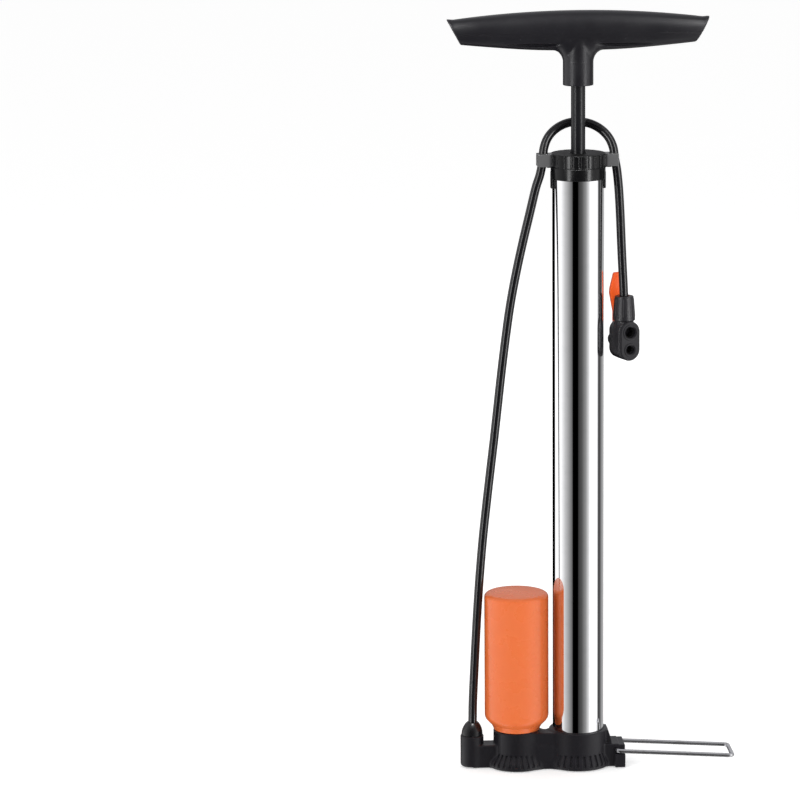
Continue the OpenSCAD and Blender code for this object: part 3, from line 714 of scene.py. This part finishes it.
arm = (115.3 - 27.7) / math.cos(DROOP)
bend, half, hook = 3.2, 14.9, 5.0
quarter = [math.radians(a) for a in range(0, 91, 10)]
outline = [(0, y) for y in np.linspace(half - bend - hook, half - bend, 4)]
outline += [(bend - bend * math.cos(a), half - bend + bend * math.sin(a)) for a in quarter[1:]]
outline += [(u, half) for u in np.linspace(bend, arm - bend, 24)[1:]]
outline += [(arm - bend + bend * math.sin(a), half - bend + bend * math.cos(a)) for a in quarter[1:]]
outline += [(arm, y) for y in np.linspace(half - bend, 0, 6)[1:]]
outline += [(u, -y) for u, y in reversed(outline[:-1])]
pedal = sweep("pedal_wire", [pedal_point(u, y) for u, y in outline], 1.55, 28, 3, (0.06, 0, 1))
dress(pedal, WIRE, "pedal", ["foot_pedal"])


# ---------------------------------------------------------------- pump head

HEAD_TURN = math.radians(23)
MID = 324.5


def on_head(item):
    """Places a piece drawn in the head's own frame."""
    item.data.transform(Matrix.Translation((33.9 * MM, -2 * MM, 0)) @ Matrix.Rotation(HEAD_TURN, 4, "Z"))
    return item


def oval(x, z, width, gap=13):
    """Distance to an upright oval outline."""
    rise = np.maximum(np.abs(z - MID) - gap / 2, 0)
    return np.hypot(x, rise) - width / 2


def between(v, low, high):
    return np.abs(v - (low + high) / 2) - (high - low) / 2


def head_shape(x, y, z):
    narrow = 16.4 - 0.6 * ease(y, 1.5, 9.3)
    shell = common(oval(x, z, narrow), between(y, -7.1, 9.3), 1.3)
    shell = common(shell, -7.1 - y, 0.15)
    neck = common(np.hypot(x, y) - 7.0, between(z, MID, 339), 0.3)
    shell = union(shell, neck, 1.4)
    pivot = np.hypot(y - 6.2, z - MID)
    boss = common(pivot - 3.6, np.abs(x) - 8.6, 0.5)
    shell = union(shell, boss, 0.8)
    shell = common(shell, -7.1 - y, 0.1)
    slot = np.maximum(np.abs(x) - 4.0, np.maximum(0.8 - y, between(z, MID - 5.4, MID + 20.5)))
    upper = np.maximum(np.abs(x) - 4.0, np.maximum(5 - y, MID - z))
    shell = cut(shell, np.minimum(slot, upper), 0.4)
    shell = cut(shell, common(oval(x, z, 12.2), between(y, -8, 3.35), 0.3), 0.2)
    shell = cut(shell, np.maximum(pivot - 1.52, np.abs(x) - 12), 0.2)
    return cut(shell, np.maximum(np.hypot(x, y) - 3, between(z, 336.8, 362)), 0.2)


def face_shape(x, y, z):
    plate = common(oval(x, z, 16.4 - 0.9 * ease(-y, 8.6, 9.6)), between(y, -9.55, -7.1), 0.5)
    # raised rings round the two ports
    for height, bore in ((MID + 6.5, 4.1), (MID - 6.5, 3.2)):
        rho = np.hypot(x, z - height)
        plate = union(plate, common(rho - bore - 1.75, between(y, -10.1, -7.5), 0.35), 0.25)
        plate = cut(plate, rho - bore - 0.7 * ease(-y, 9.3, 10.1), 0.3)
    return plate


def collar_shape(x, y, z):
    rho, turn = np.hypot(x, y), np.arctan2(y, x)
    side = 8.35 - (z - 340.6) * 0.075
    side = np.where(z < 340.6, 8.35, side)
    flutes = 0.22 * ease(np.cos(turn * 14), -0.2, 0.7) * ease(z, 341.4, 342.2) * (1 - ease(z, 355, 355.8))
    shell = common((rho - side + 0.22 - flutes) * 0.97, between(z, 339, 357.2), 0.6)
    shell = cut(shell, np.maximum(np.abs(z - 341.1) - 0.2, 8.0 - rho), 0.1)
    return cut(shell, rho - 3.42, 0.5)


def lever_shape(x, y, z):
    spine = np.interp(z, [324.2, 338.2, 358.2, 373.8], [8.1, 10.9, 10.7, 8.6])
    bow = 0.5 * (np.abs(x) / 6.8) ** 2
    half_w = np.interp(z, [324.2, 344.2, 358.2, 362.2, 373.8], [3.7, 3.7, 6.8, 6.8, 4.4])
    pad = common(np.abs(y - spine + bow) - 1.35, np.abs(x) - half_w, 0.9)
    pad = common(pad, between(z, 323.7, 373.8), 1.0)
    ridges = 0.0
    for height in (360.2, 362.8, 365.4, 368):
        ridges = ridges + 0.28 * ease(0.7 - np.abs(z - height), 0, 0.6)
    pad = pad + ridges * (y > spine) * ease(half_w - np.abs(x), 0.8, 1.6)
    low, high = np.hypot(y - 6.2, z - (MID - 1.4)), np.hypot(y - 6.2, z - MID)
    cam = common(np.minimum(low, high) - 3.15, np.abs(x) - 3.65, 0.3)
    root = block(x, y, z, (-3.65, 6.2, MID), (3.65, 9.4, MID + 7), 0.3)
    return cut(union(union(cam, root, 0.6), pad, 1.0), np.hypot(y - 6.2, z - MID) - 1.56, 0.1)


head = on_head(mould("head_moulding", head_shape, (-10, -8, 307.6), (10, 10.4, 340.2), 0.3))
dress(head, HEAD_PLASTIC, "pump", ["head_body"])
face = on_head(mould("head_face", face_shape, (-9.2, -11, 308.6), (9.2, -6.4, 340.4), 0.22))
dress(face, HEAD_PLASTIC, "pump", ["head_face_cap"])
collar = on_head(mould("collar_moulding", collar_shape, (-9.4, -9.4, 338), (9.4, 9.4, 358.2), 0.28))
dress(collar, HEAD_PLASTIC, "pump", ["head_collar"])
lever = on_head(mould("lever_moulding", lever_shape, (-7.8, 1.8, 318.8), (7.8, 13.4, 374.8), 0.3))
dress(lever, LEVER_PLASTIC, "lever", ["head_lever"])

pin_line = [(x, 6.2, MID) for x in np.linspace(-8.5, 8.5, 9)]
pin = on_head(sweep("lever_pivot", pin_line, 1.48, 32, 0, (0, 0, 1)))
dress(pin, PIN_STEEL, "pump", ["lever_pin"])


# ---------------------------------------------------------------- carried-over CAD nodes

CARRIED = {
    "barrel_gasket": SEAL_RUBBER, "tank_gasket": SEAL_RUBBER, "check_valve_seat": BRASS,
    "check_valve_ball": STEEL, "check_valve_spring": STEEL, "check_valve_cage": INNER_PLASTIC,
    "hose_barb": BRASS, "rod_bush": INNER_PLASTIC, "rod_bumper": SEAL_RUBBER,
    "piston_body": INNER_PLASTIC, "piston_cup": SEAL_RUBBER, "piston_washer": STEEL,
    "piston_nut": STEEL, "handle_nut": STEEL, "head_barb": BRASS, "head_plunger": HEAD_PLASTIC,
    "schrader_gasket": SEAL_RUBBER, "presta_gasket": SEAL_RUBBER,
}
for node, material in CARRIED.items():
    NODES[node].data.materials.clear()
    NODES[node].data.materials.append(material)


# ---------------------------------------------------------------- stage and light

def add_stage():
    mesh = bpy.data.meshes.new("floor")
    size = 30
    level = -0.0004
    corners = [(-size, -size, level), (size, -size, level), (size, size, level), (-size, size, level)]
    mesh.from_pydata(corners, [], [(0, 1, 2, 3)])
    floor = bpy.data.objects.new("floor", mesh)
    bpy.context.scene.collection.objects.link(floor)
    material = bpy.data.materials.new("floor_paper")
    material.use_nodes = True
    shader = material.node_tree.nodes["Principled BSDF"]
    shader.inputs["Base Color"].default_value = (0.9, 0.9, 0.9, 1)
    shader.inputs["Roughness"].default_value = 0.9
    shader.inputs["Specular IOR Level"].default_value = 0.0
    shader.inputs["Emission Color"].default_value = (1, 1, 1, 1)
    shader.inputs["Emission Strength"].default_value = 0.42
    floor.data.materials.append(material)
    floor.visible_glossy = False


# Brightness of the studio round the pump, by the angle from the front towards +X, in degrees
STUDIO = [
    (-180, 0.0), (-134, 0.0), (-131, 1.25), (-90, 1.2), (-66, 0.62), (-37, 0.2), (-33, 0.16), (-29, 0.0),
    (-6, 0.0), (-3, 0.045), (12, 0.1), (30, 0.32), (44, 0.8), (50, 1.25), (90, 1.25), (94, 0.5), (99, 0.04),
    (112, 0.1), (135, 0.42), (165, 0.5), (172, 0.0),
]


def add_world():
    """White paper for the camera, an even dome for matt surfaces, and the studio in reflections."""
    world = bpy.data.worlds.new("studio")
    bpy.context.scene.world = world
    world.use_nodes = True
    world.node_tree.nodes.clear()
    n = NodeTree(world.node_tree)

    def background(colour, strength):
        return n.feed(n.add("ShaderNodeBackground"), colour, strength)

    split = n.add("ShaderNodeSeparateXYZ")
    n.put(split.inputs[0], n.add("ShaderNodeTexCoord").outputs["Generated"])
    x, y, z = split.outputs
    turn = n.spread(n.math("ARCTAN2", x, n.math("MULTIPLY", y, -1)), -math.pi, math.pi, 0, 1)
    ramp = n.add("ShaderNodeValToRGB")
    n.put(ramp.inputs[0], turn)
    stops = ramp.color_ramp.elements
    while len(stops) > 1:
        stops.remove(stops[-1])
    for k, (degrees, level) in enumerate(STUDIO):
        stop = stops[0] if k == 0 else stops.new((degrees + 180) / 360)
        stop.position = (degrees + 180) / 360
        stop.color = (level, level, level, 1)
    overhead = n.mix(n.spread(z, 0.45, 0.95, 0, 1), ramp.outputs["Color"], (0.55, 0.55, 0.56))
    behind = n.math("MULTIPLY", n.spread(z, 0.02, 0.16, 0, 1), n.spread(y, 0.1, 0.5, 0, 1))
    cards = background(n.mix(behind, overhead, (0.55, 0.55, 0.57)), 1.0)
    dome, paper = background((1, 1, 1, 1), 0.62), background((1, 1, 1, 1), 1.0)
    ray = n.add("ShaderNodeLightPath").outputs
    around = n.feed(n.add("ShaderNodeMixShader"), ray["Is Glossy Ray"], dome, cards)
    light = n.feed(n.add("ShaderNodeMixShader"), ray["Is Camera Ray"], around, paper)
    n.put(n.add("ShaderNodeOutputWorld").inputs["Surface"], light)


def link_light(lamp, lit):
    """Lets a light reach only the given pieces, and be shaded only by them."""
    group = bpy.data.collections.new(lamp.name)
    for item in lit:
        group.objects.link(item)
    lamp.light_linking.receiver_collection = group
    lamp.light_linking.blocker_collection = group


def add_light(name, place, direction, size, power, lit):
    """Rectangular light that the camera doesn't see. It lights every piece, or only those in lit."""
    data = bpy.data.lights.new(name, "AREA")
    data.shape = "RECTANGLE"
    data.size, data.size_y = size
    data.energy = power
    lamp = bpy.data.objects.new(name, data)
    lamp.location = place
    lamp.rotation_euler = direction.to_track_quat("-Z", "Y").to_euler()
    lamp.visible_camera = False
    if lit:
        link_light(lamp, lit)
    bpy.context.scene.collection.objects.link(lamp)
    return lamp


CARD_DISTANCE = 2.2
CARD_CENTRE = Vector((0, 0, 0.4))


def add_card(name, azimuth, elevation, size, level, lit):
    """Soft card that only mirrors in the given pieces, and that the floor doesn't shade."""
    turn, rise = math.radians(azimuth), math.radians(elevation)
    away = Vector((math.sin(turn) * math.cos(rise), -math.cos(turn) * math.cos(rise), math.sin(rise)))
    power = level * 4 * size[0] * size[1]
    card = add_light(name, away * CARD_DISTANCE + CARD_CENTRE, -away, size, power, lit)
    card.visible_diffuse = False


def add_lamp(name, place, aim, size, power, lit=None):
    """Soft lamp that doesn't mirror in anything."""
    lamp = add_light(name, place, Vector(aim) - Vector(place), size, power, lit)
    lamp.visible_glossy = False


add_stage()
add_world()
add_lamp("key", (-1.4, -1.6, 1.5), (0, 0, 0.25), (1.0, 1.4), 16)
add_lamp("fill", (1.5, -1.4, 0.9), (0, 0, 0.25), (1.2, 1.4), 9)
add_lamp("back", (0.3, 1.8, 1.4), (0, 0, 0.3), (1.4, 1.0), 9)
add_lamp("lever_light", (0.6, -2.0, 0.8), (0, 0, 0.34), (1.0, 1.0), 20, [lever])
DARK_PIECES = [hose, piston_rod, handle, collar, head]
add_card("left_strip", -54, 18, (0.5, 5.6), 5.0, DARK_PIECES)
add_card("right_strip", 50, 18, (0.5, 5.6), 5.0, DARK_PIECES)
add_card("left_cap_card", -44, 18, (0.5, 5.6), 11.0, [cap])
add_card("right_cap_card", 42, 18, (0.5, 5.6), 13.0, [cap])
add_card("left_tip_card", -46, 36, (0.6, 1.1), 18.0, [handle])
add_card("right_tip_card", 38, 36, (0.6, 1.1), 4.5, [handle])
add_card("top_card", -4, 64, (0.5, 0.35), 60.0, [cap, boot])

view = bpy.context.scene.view_settings
view.view_transform = "Standard"
view.look = "None"
